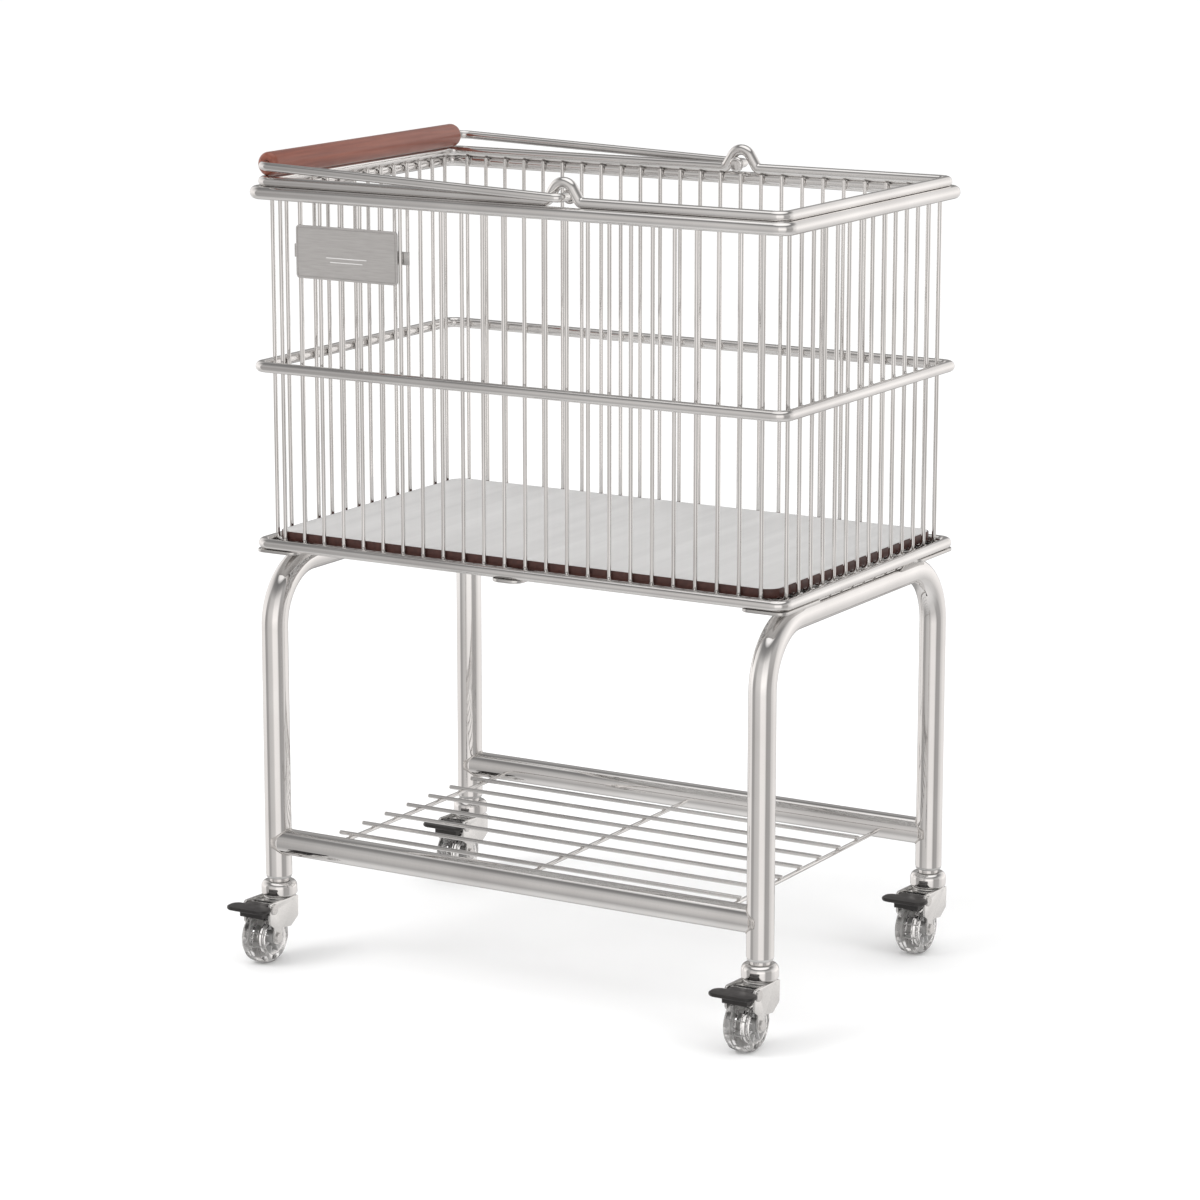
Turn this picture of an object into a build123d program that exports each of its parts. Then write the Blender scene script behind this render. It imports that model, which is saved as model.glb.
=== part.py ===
"""Wire-basket trolley on a tubular stand: one STEP file for each named piece, in millimetres.

+X runs along the long side, +Y to the rear, +Z up. The pieces are modelled about the middle of the stand
and written moved to the rear by ORIGIN_SHIFT, so the origin is on the floor under the middle of the whole
trolley with its brake pedals. The wire basket sits on two inverted-U leg frames, joined low down by two
rails and a wire shelf. A bail handle with a wooden grip hinges in two arches of the top ring, and each leg
has a braked caster.
"""

from build123d import *
import os
from math import cos, radians, sin, sqrt

# Clearances
SEAT = 0.05  # between welded wires, which only touch
RUNNING = 0.05  # radial, a shaft in its hole

# Stand
LEG_X = 260.0  # half the distance between the two leg frames
LEG_Y = 170.0  # half the distance between the legs of one frame
LEG_BOTTOM = 80.0
TUBE_R = 12.5
TUBE_WALL = 1.5
BEND_R = 58.0
RAIL_Z = 113.0

# Shelf between the rails
SHELF_WIRE_R = 2.0
SHELF_WIRE_COUNT = 7
SHELF_WIRE_PITCH = 39.0
SHELF_CROSS_X = (-213.0, -2.0, 209.0)
SHELF_OVERHANG_LEFT = 13.0
SHELF_OVERHANG_RIGHT = 3.5
SHELF_CROSS_Z = RAIL_Z - 4.0

# Basket
BASKET_HALF_X = 282.5  # outside of the bottom and middle rings
BASKET_HALF_Y = 172.5
RING_R = 5.0
RING_CORNER = 11.0  # centre-line radius of the bottom and middle rings' corners
BOTTOM_RING_Z = 399.0
MIDDLE_RING_Z = 566.5
RIM_Z = 728.5
RIM_R = 6.0
WIRE_R = 2.0
WIRE_BEND_R = 6.0
LONG_SIDE_WIRES = 24
SHORT_SIDE_WIRES = 14
LONG_SIDE_SPAN = 505.0  # first to last wire of a long side
SHORT_SIDE_SPAN = 295.0
WALL_X = BASKET_HALF_X - 2 * RING_R - WIRE_R - SEAT
WALL_Y = BASKET_HALF_Y - 2 * RING_R - WIRE_R - SEAT
RIM_X = WALL_X + WIRE_R + RIM_R + SEAT
RIM_Y = WALL_Y + WIRE_R + RIM_R + SEAT
TOP_RING_INSET = 5.0
TOP_RING_X = RIM_X - TOP_RING_INSET
TOP_RING_Y = RIM_Y - TOP_RING_INSET
TOP_RING_Z = RIM_Z + sqrt((RIM_R + RING_R + SEAT) ** 2 - TOP_RING_INSET**2)
WIRE_TOP = TOP_RING_Z - RING_R - 0.1
LOWER_LAYER_Z = BOTTOM_RING_Z - RING_R + SEAT + WIRE_R
UPPER_LAYER_Z = LOWER_LAYER_Z + 2 * WIRE_R + SEAT

# Floor board
BOARD_HALF_X = 265.0
BOARD_HALF_Y = 158.2
BOARD_THICKNESS = 8.5
BOARD_CORNER = 14.0
EDGE_BAND = 1.2
BOARD_Z = UPPER_LAYER_Z + WIRE_R + 0.1

# Plates between the basket and the stand
PLATE_THICKNESS = 3.0
PLATE_TOP = BOTTOM_RING_Z - RING_R - SEAT
PLATE_HALF_X = (236.0, 281.0)
PLATE_HALF_Y = (96.0, 171.0)
PLATE_CORNER = 9.0
STRAP_X = -5.0
STRAP_WIDTH = 32.0
BAR_Z = PLATE_TOP - PLATE_THICKNESS - SEAT - TUBE_R

# Bail handle
PIVOT_X = 54.0
PIVOT_Z = 742.6
ARCH_HALF_WIDTH = 17.0
ARCH_PEAK = 27.0
ARCH_TOP_R = 11.0
ARCH_FOOT_R = 6.0
BAIL_R = 4.0
BAIL_Y = TOP_RING_Y + RING_R + BAIL_R + 0.4
BAIL_END_X = -268.0
GRIP_R = 11.25
GRIP_HALF_LENGTH = 160.0
GRIP_Z = TOP_RING_Z + sqrt((GRIP_R + RING_R + 0.2) ** 2 - (BAIL_END_X + TOP_RING_X) ** 2)
BAIL_HOOK_BEND = 6.5
BAIL_CORNER_BEND = 12.0
CAP_R = 7.0
CAP_Y = (150.5, 154.5)

# Name plate
NAME_PLATE_X = (-233.0, -122.0)
NAME_PLATE_Z = (652.0, 701.0)
NAME_PLATE_THICKNESS = 1.5
NAME_PLATE_CORNER = 3.5
CLAMP_STRIP_LENGTH = 38.0
CLAMP_STRIP_HEIGHT = 12.0
RIVET_R = 2.0
RIVET_HEAD_R = 3.2
RIVET_HEAD = 0.8

# Casters, in their own frame: the stem's axis is at x = y = 0 and the wheel trails towards -Y
TRAIL = 25.0
WHEEL_R = 25.0
WHEEL_HALF_WIDTH = 12.0
HUB_R = 9.0
AXLE_R = 3.0
EAR_INNER = 13.2
EAR_THICKNESS = 2.2
EAR_OUTER = EAR_INNER + EAR_THICKNESS
EAR_REAR = 9.0
TONGUE_HALF_WIDTH = 6.0
FORK_TOP = 57.2
HEAD_BOTTOM = 60.6
HEAD_TOP = 74.5
HEAD_R = 17.0
STEM_R = 5.0
STEM_TOP = 108.0
SOCKET_TOP = 111.0
BALL_R = 2.3
BALL_CIRCLE_R = 11.0
BALL_COUNT = 12
PIN_S = 31.0  # brake pin, ahead of the stem along the trail
PIN_Z = 54.6
PIN_R = 2.4
SHOE_BOTTOM = 48.0
WING_TIP_S = 60.0
WING_HALF_WIDTH = 23.0
ORIGIN_SHIFT = (WING_TIP_S - HEAD_R) / 2  # the front pedals reach further out than the rear stems do
CORNERS = {
    "front_left": (-LEG_X, -LEG_Y),
    "front_right": (LEG_X, -LEG_Y),
    "rear_left": (-LEG_X, LEG_Y),
    "rear_right": (LEG_X, LEG_Y),
}


def save(shape, name):
    """Write one piece, or one group of like pieces, as its own STEP file."""
    export_step(Pos(0, ORIGIN_SHIFT, 0) * shape, f"parts/{name}.step")


def group(solids):
    """A group of separate solids that share one file."""
    return Compound([solid for shape in solids for solid in shape.solids()])


def rod(start, end, radius):
    """A straight round bar between two points."""
    line = Vector(*end) - Vector(*start)
    plane = Plane(origin=start, z_dir=line)
    return plane * Cylinder(radius, line.length, align=(Align.CENTER, Align.CENTER, Align.MIN))


def swept(path, radius):
    """A round bar that follows a path."""
    section = Plane(origin=path @ 0, z_dir=path % 0) * Circle(radius)
    return sweep(section, path=path)


def tube(path, outer, wall):
    """A round tube that follows a path."""
    return swept(path, outer) - swept(path, outer - wall)


def ring_path(half_x, half_y, corner, z):
    """The centre line of a rectangular ring with round corners."""
    outline = RectangleRounded(2 * half_x, 2 * half_y, corner)
    return (Pos(0, 0, z) * outline).wire()


def flat_plate(x_range, y_range, z_range):
    """A rectangular block between the given limits."""
    size = [high - low for low, high in (x_range, y_range, z_range)]
    middle = [(high + low) / 2 for low, high in (x_range, y_range, z_range)]
    return Pos(*middle) * Box(*size)


def spread(count, span):
    """Evenly spaced places, centred on zero."""
    return [span * (i / (count - 1) - 0.5) for i in range(count)]


# ---------------------------------------------------------------- stand


def leg_frame(x):
    """One inverted-U tube: two legs and the bar under the basket."""
    corners = [(x, -LEG_Y, LEG_BOTTOM), (x, -LEG_Y, BAR_Z), (x, LEG_Y, BAR_Z), (x, LEG_Y, LEG_BOTTOM)]
    return tube(FilletPolyline(*corners, radius=BEND_R), TUBE_R, TUBE_WALL)


def rail(y):
    """A long low tube, its ends cut to the legs' round."""
    body = rod((-LEG_X, y, RAIL_Z), (LEG_X, y, RAIL_Z), TUBE_R)
    body -= rod((-LEG_X, y, RAIL_Z), (LEG_X, y, RAIL_Z), TUBE_R - TUBE_WALL)
    for x in (-LEG_X, LEG_X):
        body -= rod((x, y, RAIL_Z - 20), (x, y, RAIL_Z + 20), TUBE_R + SEAT)
    return max(body.solids(), key=lambda solid: solid.volume)


def shelf_cross_wires():
    """Three wires across the stand, welded between the rails."""
    wires = []
    for x in SHELF_CROSS_X:
        wire = rod((x, -LEG_Y, SHELF_CROSS_Z), (x, LEG_Y, SHELF_CROSS_Z), SHELF_WIRE_R)
        for y in (-LEG_Y, LEG_Y):
            wire -= rod((x - 20, y, RAIL_Z), (x + 20, y, RAIL_Z), TUBE_R + SEAT)
        wires.append(max(wire.solids(), key=lambda solid: solid.volume))
    return group(wires)


def shelf_long_wires():
    """Seven round-ended wires lying on the cross wires."""
    z = SHELF_CROSS_Z + 2 * SHELF_WIRE_R + SEAT
    low = SHELF_CROSS_X[0] - SHELF_OVERHANG_LEFT
    high = SHELF_CROSS_X[-1] + SHELF_OVERHANG_RIGHT
    wires = []
    for y in spread(SHELF_WIRE_COUNT, SHELF_WIRE_PITCH * (SHELF_WIRE_COUNT - 1)):
        wire = rod((low, y, z), (high, y, z), SHELF_WIRE_R)
        wires.append(fillet(wire.edges().filter_by(GeomType.CIRCLE), 0.8 * SHELF_WIRE_R))
    return group(wires)


def corner_plates():
    """Four flat plates that carry the basket's corners on the leg frames."""
    plates = []
    for sx in (-1, 1):
        for sy in (-1, 1):
            x_range = sorted(sx * x for x in PLATE_HALF_X)
            y_range = sorted(sy * y for y in PLATE_HALF_Y)
            plate = flat_plate(x_range, y_range, (PLATE_TOP - PLATE_THICKNESS, PLATE_TOP))
            plates.append(fillet(plate.edges().filter_by(Axis.Z), PLATE_CORNER))
    return group(plates)


def centre_strap():
    """A flat strap under the wire floor, round at both ends."""
    body = flat_plate(
        (STRAP_X - STRAP_WIDTH / 2, STRAP_X + STRAP_WIDTH / 2),
        (-BASKET_HALF_Y - 1.0, BASKET_HALF_Y + 1.0),
        (PLATE_TOP - PLATE_THICKNESS, PLATE_TOP),
    )
    return fillet(body.edges().filter_by(Axis.Z), 0.35 * STRAP_WIDTH)


def leg_sockets():
    """Four sleeves pressed into the leg ends, with a lip under the tube."""
    sockets = []
    for x, y in CORNERS.values():
        lip = rod((x, y, LEG_BOTTOM - 3.0), (x, y, LEG_BOTTOM - SEAT), TUBE_R - 0.3)
        lip = fillet(lip.edges().group_by(Axis.Z)[0], 2.0)
        body = lip + rod((x, y, LEG_BOTTOM - 1.0), (x, y, SOCKET_TOP), TUBE_R - TUBE_WALL - SEAT)
        body -= rod((x, y, 0), (x, y, SOCKET_TOP + 1), STEM_R + RUNNING)
        sockets.append(body)
    return group(sockets)


# ---------------------------------------------------------------- basket


def plain_ring(z, radius=RING_R, half_x=BASKET_HALF_X - RING_R, half_y=BASKET_HALF_Y - RING_R):
    """One closed ring of round wire."""
    return swept(ring_path(half_x, half_y, RING_CORNER, z), radius)


def top_ring():
    """The top ring, with an arch in each long side for the bail handle."""
    x, y, z = TOP_RING_X, TOP_RING_Y, TOP_RING_Z
    points = []
    radii = []
    for side in (1, -1):
        points.append((side * x, side * y, z))
        radii.append(RING_CORNER)
        for step in (side, 0, -side):
            rise = 0.0 if step else ARCH_PEAK
            points.append((PIVOT_X + step * ARCH_HALF_WIDTH, side * y, z + rise))
            radii.append(ARCH_FOOT_R if step else ARCH_TOP_R)
        points.append((-side * x, side * y, z))
        radii.append(RING_CORNER)
    return swept(FilletPolyline(*points, radius=radii, close=True), RING_R)


def wall_wires(places, wall, along_x, bottom):
    """The upright wires of one wall, from the floor wires' bends to the top ring."""
    wires = []
    for place in places:
        x, y = (place, wall) if along_x else (wall, place)
        wires.append(rod((x, y, bottom), (x, y, WIRE_TOP), WIRE_R))
    return group(wires)


def floor_wires(places, wall, along_x, z):
    """The floor wires of one layer, turned up at both ends to meet the wall wires."""
    wires = []
    for place in places:
        ends = [(-wall, z + WIRE_BEND_R), (-wall, z), (wall, z), (wall, z + WIRE_BEND_R)]
        route = [(across, place, h) if along_x else (place, across, h) for across, h in ends]
        wires.append(swept(bent_up(route), WIRE_R))
    return group(wires)


def bent_up(route):
    """A straight run with a quarter bend up at each end."""
    start, low_start, low_end, end = [Vector(*point) for point in route]
    inward = (low_end - low_start).normalized() * WIRE_BEND_R
    first = Edge.make_tangent_arc(start, Vector(0, 0, -1), low_start + inward)
    flat = Edge.make_line(low_start + inward, low_end - inward)
    last = Edge.make_tangent_arc(low_end - inward, inward.normalized(), end)
    return Wire([first, flat, last])


def board_outline(half_x, half_y, corner):
    """A rounded slab at the board's height."""
    face = Pos(0, 0, BOARD_Z) * RectangleRounded(2 * half_x, 2 * half_y, corner)
    return extrude(face, BOARD_THICKNESS)


def floor_board():
    """The board's core, inside its edge band."""
    return board_outline(BOARD_HALF_X - EDGE_BAND, BOARD_HALF_Y - EDGE_BAND, BOARD_CORNER - EDGE_BAND)


def board_edge_band():
    """The dark band glued round the board's edge."""
    inner = EDGE_BAND - 0.02
    outside = board_outline(BOARD_HALF_X, BOARD_HALF_Y, BOARD_CORNER)
    return outside - board_outline(BOARD_HALF_X - inner, BOARD_HALF_Y - inner, BOARD_CORNER - inner)


def name_plate_stud_places():
    """The gaps between wall wires that take the plate's two studs."""
    pitch = LONG_SIDE_SPAN / (LONG_SIDE_WIRES - 1)
    return [-LONG_SIDE_SPAN / 2 + pitch * gap for gap in (1.5, 5.5)]


def name_plate():
    """A blank plate with round corners, outside the wires."""
    front = -WALL_Y - WIRE_R - SEAT
    body = flat_plate(NAME_PLATE_X, (front - NAME_PLATE_THICKNESS, front), NAME_PLATE_Z)
    return fillet(body.edges().filter_by(Axis.Y), NAME_PLATE_CORNER)


def name_plate_clamps():
    """Two strips behind the wires that the studs pull the plate against."""
    back = -WALL_Y + WIRE_R + SEAT
    middle = sum(NAME_PLATE_Z) / 2
    strips = []
    for x in name_plate_stud_places():
        strip = flat_plate(
            (x - CLAMP_STRIP_LENGTH / 2, x + CLAMP_STRIP_LENGTH / 2),
            (back, back + NAME_PLATE_THICKNESS),
            (middle - CLAMP_STRIP_HEIGHT / 2, middle + CLAMP_STRIP_HEIGHT / 2),
        )
        strip -= rod((x, back - 1, middle), (x, back + 5, middle), RIVET_R + RUNNING)
        strips.append(strip)
    return group(strips)


def name_plate_rivets():
    """Two studs welded to the plate's back and riveted over behind the strips."""
    front = -WALL_Y - WIRE_R
    back = -WALL_Y + WIRE_R + SEAT + NAME_PLATE_THICKNESS
    middle = sum(NAME_PLATE_Z) / 2
    rivets = []
    for x in name_plate_stud_places():
        body = rod((x, front, middle), (x, back, middle), RIVET_R)
        body += rod((x, back, middle), (x, back + RIVET_HEAD, middle), RIVET_HEAD_R)
        rivets.append(body)
    return group(rivets)


# ---------------------------------------------------------------- bail handle


def bail_wire():
    """The handle's wire: two arms, hooked in through the arches, and the bar inside the grip."""
    hook_y = CAP_Y[0] + 1.0
    route = [
        (PIVOT_X, -hook_y, PIVOT_Z),
        (PIVOT_X, -BAIL_Y, PIVOT_Z),
        (BAIL_END_X, -BAIL_Y, GRIP_Z),
        (BAIL_END_X, BAIL_Y, GRIP_Z),
        (PIVOT_X, BAIL_Y, PIVOT_Z),
        (PIVOT_X, hook_y, PIVOT_Z),
    ]
    radii = [BAIL_HOOK_BEND, BAIL_CORNER_BEND, BAIL_CORNER_BEND, BAIL_HOOK_BEND]
    return swept(FilletPolyline(*route, radius=radii), BAIL_R)


def bail_end_caps():
    """Two domed caps on the hooked ends, inside the arches."""
    caps = []
    for side in (-1, 1):
        cap = rod((PIVOT_X, side * CAP_Y[0], PIVOT_Z), (PIVOT_X, side * CAP_Y[1], PIVOT_Z), CAP_R)
        inner_rim = cap.edges().filter_by(GeomType.CIRCLE).sort_by(Axis.Y)
        cap = fillet(inner_rim[-1 if side < 0 else 0], 2.5)
        bore_end = side * (CAP_Y[0] + 1.0 - SEAT)
        cap -= rod((PIVOT_X, bore_end, PIVOT_Z), (PIVOT_X, side * (CAP_Y[1] + 1), PIVOT_Z), BAIL_R)
        caps.append(cap)
    return group(caps)


def handle_grip():
    """The turned wooden grip, round at its ends and free to turn on the wire."""
    x, z = BAIL_END_X, GRIP_Z
    body = rod((x, -GRIP_HALF_LENGTH, z), (x, GRIP_HALF_LENGTH, z), GRIP_R)
    body = fillet(body.edges().filter_by(GeomType.CIRCLE), 5.5)
    return body - rod((x, -GRIP_HALF_LENGTH - 1, z), (x, GRIP_HALF_LENGTH + 1, z), BAIL_R + RUNNING)


# ---------------------------------------------------------------- casters


def caster_stem():
    """The fixed stem: pin, collar, domed upper race and the riveted end under the fork."""
    race = rod((0, 0, HEAD_BOTTOM), (0, 0, HEAD_TOP), HEAD_R)
    race = fillet(race.edges().group_by(Axis.Z)[-1], 6.0)
    race = fillet(race.edges().group_by(Axis.Z)[0], 2.0)
    groove = Pos(0, 0, HEAD_BOTTOM - 0.9) * Torus(BALL_CIRCLE_R, BALL_R + 0.3)
    collar = rod((0, 0, HEAD_TOP - 1), (0, 0, LEG_BOTTOM - 3.0 - SEAT), 9.0)
    pin = rod((0, 0, FORK_TOP - 4), (0, 0, STEM_TOP), STEM_R)
    rivet_head = rod((0, 0, FORK_TOP - EAR_THICKNESS - 2.6), (0, 0, FORK_TOP - EAR_THICKNESS - 0.3), 7.5)
    return race - groove + collar + pin + rivet_head


def ear_outline():
    """The side plate's outline in (trail, height): broad at the pin, with a tongue down to the axle."""
    profile = FilletPolyline(
        (-EAR_REAR, FORK_TOP + 2.0),
        (-EAR_REAR + 0.5, 39.0),
        (3.5, 31.5),
        (TRAIL - TONGUE_HALF_WIDTH, 33.5),
        (TRAIL - TONGUE_HALF_WIDTH, WHEEL_R - 6.0),
        (TRAIL + TONGUE_HALF_WIDTH, WHEEL_R - 6.0),
        (TRAIL + TONGUE_HALF_WIDTH, 36.0),
        (PIN_S + 6.0, 40.0),
        (PIN_S + 7.0, FORK_TOP + 3.6),
        radius=[1.5, 3.0, 2.5, 2.0, 5.0, 5.0, 2.0, 3.0, 4.0],
        close=True,
    )
    return make_face(profile)


def caster_fork():
    """The swivelling fork: a pressed plate with two ears, and the lower ball race."""
    # the outline's axes are the trail, towards -Y, and the height
    ear = Plane(origin=(-EAR_OUTER, 0, 0), x_dir=(0, -1, 0), z_dir=(-1, 0, 0)) * ear_outline()
    ear = extrude(ear, -EAR_THICKNESS)
    ears = [ear, ear.mirror(Plane.YZ)]
    bridge = flat_plate((-EAR_INNER - 1, EAR_INNER + 1), (-20.0, 8.0), (FORK_TOP - EAR_THICKNESS, FORK_TOP))
    race = rod((0, 0, FORK_TOP - 1), (0, 0, HEAD_BOTTOM - 0.4), HEAD_R - 1.5)
    race = fillet(race.edges().group_by(Axis.Z)[-1], 1.5)
    body = ears[0] + ears[1] + bridge + race
    body -= Pos(0, 0, HEAD_BOTTOM - 0.9) * Torus(BALL_CIRCLE_R, BALL_R + 0.3)
    body -= rod((0, 0, 40), (0, 0, 70), STEM_R + RUNNING)
    body -= rod((-30, -TRAIL, WHEEL_R), (30, -TRAIL, WHEEL_R), AXLE_R + 0.02)
    return body - rod((-30, -PIN_S, PIN_Z), (30, -PIN_S, PIN_Z), PIN_R + 0.02)


def bearing_balls():
    """The balls of all four swivels, between the upper and lower races."""
    balls = []
    for x, y in CORNERS.values():
        for i in range(BALL_COUNT):
            turn = radians(360.0 * i / BALL_COUNT)
            place = (x + BALL_CIRCLE_R * cos(turn), y + BALL_CIRCLE_R * sin(turn), HEAD_BOTTOM - 0.9)
            balls.append(Pos(*place) * Sphere(BALL_R))
    return group(balls)


def revolved_wheel(profile):
    """Turn a (width, radius) profile about the wheel's axle."""
    points = [(across, -TRAIL, WHEEL_R + radius) for across, radius in profile]
    face = make_face(Polyline(*points, close=True))
    return revolve(face, Axis((0, -TRAIL, WHEEL_R), (1, 0, 0)))


def caster_wheel():
    """The clear tread and web, dished on both sides."""
    half = WHEEL_HALF_WIDTH
    profile = [
        (-half, 16.5),
        (-half, WHEEL_R - 4.0),
        (-half + 3.5, WHEEL_R - 0.6),
        (-half + 7.0, WHEEL_R),
        (half - 7.0, WHEEL_R),
        (half - 3.5, WHEEL_R - 0.6),
        (half, WHEEL_R - 4.0),
        (half, 16.5),
        (3.0, 15.0),
        (3.0, HUB_R),
        (-3.0, HUB_R),
        (-3.0, 15.0),
    ]
    return revolved_wheel(profile)


def caster_hub():
    """The hub, with its bearing bore, set in the wheel's web."""
    hub = rod((-EAR_INNER + 0.6, -TRAIL, WHEEL_R), (EAR_INNER - 0.6, -TRAIL, WHEEL_R), HUB_R - 2.5)
    hub += rod((-5.0, -TRAIL, WHEEL_R), (5.0, -TRAIL, WHEEL_R), HUB_R - 0.02)
    return hub - rod((-20, -TRAIL, WHEEL_R), (20, -TRAIL, WHEEL_R), AXLE_R + RUNNING)


def headed_pin(s, z, radius, head_r, head):
    """A pin through both ears with a round head at each side."""
    pin = rod((-EAR_OUTER, -s, z), (EAR_OUTER, -s, z), radius)
    for side in (-1, 1):
        cap = rod((side * EAR_OUTER, -s, z), (side * (EAR_OUTER + head), -s, z), head_r)
        rims = cap.edges().filter_by(GeomType.CIRCLE).sort_by(Axis.X)
        pin += fillet(rims[-1 if side > 0 else 0], 0.45 * head)
    return pin


def brake_pedal():
    """The brake pedal: a barrel on the pin, a curved shoe over the wheel and a wing for the foot."""
    half = EAR_INNER - 0.6
    barrel = rod((-half, -PIN_S, PIN_Z), (half, -PIN_S, PIN_Z), 4.2)
    shoe = flat_plate((-half, half), (-PIN_S - 17.0, -PIN_S), (SHOE_BOTTOM, PIN_Z + 3.5))
    shoe -= rod((-20, -TRAIL, WHEEL_R), (20, -TRAIL, WHEEL_R), WHEEL_R + 2.4)
    shoe = max(shoe.solids(), key=lambda solid: solid.volume)
    thick = 3.4
    top = PIN_Z + 5.0
    outline = FilletPolyline(
        (-half, -PIN_S - 9.0),
        (-WING_HALF_WIDTH, -WING_TIP_S + 10.0),
        (-WING_HALF_WIDTH + 2.0, -WING_TIP_S),
        (WING_HALF_WIDTH - 2.0, -WING_TIP_S),
        (WING_HALF_WIDTH, -WING_TIP_S + 10.0),
        (half, -PIN_S - 9.0),
        radius=[4.0, 3.0, 3.0, 4.0],
    )
    outline = Wire([*outline.edges(), Edge.make_line((half, -PIN_S - 9.0), (-half, -PIN_S - 9.0))])
    wing = extrude(Pos(0, 0, top - thick) * make_face(outline), thick)
    neck = flat_plate((-half, half), (-PIN_S - 10.0, -PIN_S + 2.0), (PIN_Z, top))
    body = barrel + shoe + wing + neck
    return body - rod((-20, -PIN_S, PIN_Z), (20, -PIN_S, PIN_Z), PIN_R + RUNNING)


def save_casters():
    """Each caster's pieces, modelled once and placed under each leg."""
    pieces = {
        "stem": caster_stem(),
        "fork": caster_fork(),
        "wheel": caster_wheel(),
        "hub": caster_hub(),
        "axle": headed_pin(TRAIL, WHEEL_R, AXLE_R, 5.0, 2.0),
        "brake_pin": headed_pin(PIN_S, PIN_Z, PIN_R, 5.2, 1.6),
        "brake_pedal": brake_pedal(),
    }
    for corner, (x, y) in CORNERS.items():
        for name, piece in pieces.items():
            save(Pos(x, y, 0) * piece, f"{corner}_caster_{name}")


def main():
    """Build and write every piece."""
    os.makedirs("parts", exist_ok=True)
    long_places = spread(LONG_SIDE_WIRES, LONG_SIDE_SPAN)
    short_places = spread(SHORT_SIDE_WIRES, SHORT_SIDE_SPAN)
    lower_end = LOWER_LAYER_Z + WIRE_BEND_R
    upper_end = UPPER_LAYER_Z + WIRE_BEND_R
    save(leg_frame(-LEG_X), "left_leg_frame")
    save(leg_frame(LEG_X), "right_leg_frame")
    save(rail(-LEG_Y), "front_rail")
    save(rail(LEG_Y), "rear_rail")
    save(shelf_cross_wires(), "shelf_cross_wires")
    save(shelf_long_wires(), "shelf_long_wires")
    save(corner_plates(), "corner_plates")
    save(centre_strap(), "centre_strap")
    save(leg_sockets(), "leg_sockets")
    save(plain_ring(BOTTOM_RING_Z), "bottom_ring")
    save(plain_ring(MIDDLE_RING_Z), "middle_ring")
    save(plain_ring(RIM_Z, RIM_R, RIM_X, RIM_Y), "rim_ring")
    save(top_ring(), "top_ring")
    save(wall_wires(long_places, -WALL_Y, True, lower_end), "front_wall_wires")
    save(wall_wires(long_places, WALL_Y, True, lower_end), "rear_wall_wires")
    save(wall_wires(short_places, -WALL_X, False, upper_end), "left_wall_wires")
    save(wall_wires(short_places, WALL_X, False, upper_end), "right_wall_wires")
    save(floor_wires(long_places, WALL_Y, False, LOWER_LAYER_Z), "floor_cross_wires")
    save(floor_wires(short_places, WALL_X, True, UPPER_LAYER_Z), "floor_long_wires")
    save(floor_board(), "floor_board")
    save(board_edge_band(), "board_edge_band")
    save(name_plate(), "name_plate")
    save(name_plate_clamps(), "name_plate_clamps")
    save(name_plate_rivets(), "name_plate_rivets")
    save(bail_wire(), "bail_wire")
    save(bail_end_caps(), "bail_end_caps")
    save(handle_grip(), "handle_grip")
    save(bearing_balls(), "swivel_bearing_balls")
    save_casters()


main()
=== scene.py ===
"""Looks of the wire-basket trolley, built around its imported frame. Lengths are in metres."""

import logging
import math
from collections.abc import Callable
from dataclasses import dataclass
from enum import Enum

import bpy
from mathutils import Matrix, Vector

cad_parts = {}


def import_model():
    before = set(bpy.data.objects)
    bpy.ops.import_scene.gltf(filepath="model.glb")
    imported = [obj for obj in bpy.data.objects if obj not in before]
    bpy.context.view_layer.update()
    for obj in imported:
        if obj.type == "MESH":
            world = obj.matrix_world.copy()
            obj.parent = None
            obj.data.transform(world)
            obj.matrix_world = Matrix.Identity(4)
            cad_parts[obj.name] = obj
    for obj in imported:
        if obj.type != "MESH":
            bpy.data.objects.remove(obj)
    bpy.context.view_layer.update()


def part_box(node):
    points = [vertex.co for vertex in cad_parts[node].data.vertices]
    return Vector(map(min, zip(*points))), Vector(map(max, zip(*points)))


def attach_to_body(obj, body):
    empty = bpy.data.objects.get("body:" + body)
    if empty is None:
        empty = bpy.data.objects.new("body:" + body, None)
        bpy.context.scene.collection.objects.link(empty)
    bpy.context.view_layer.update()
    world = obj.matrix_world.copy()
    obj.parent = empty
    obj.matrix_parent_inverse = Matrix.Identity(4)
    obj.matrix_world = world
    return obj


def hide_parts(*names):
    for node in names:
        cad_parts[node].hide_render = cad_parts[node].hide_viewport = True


LOG = logging.getLogger("trolley")
SHIFT_Y = 0.0215  # the stand's middle, to the rear of the origin
CORNERS = {
    "front_left": (-0.260, -0.170 + SHIFT_Y),
    "front_right": (0.260, -0.170 + SHIFT_Y),
    "rear_left": (-0.260, 0.170 + SHIFT_Y),
    "rear_right": (0.260, 0.170 + SHIFT_Y),
}
ROOT = "stand_and_basket"
ALIGNED = 0.99  # how well an edge or a face has to follow an axis to count


# ------------------------------------------------------------------ finishes


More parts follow.
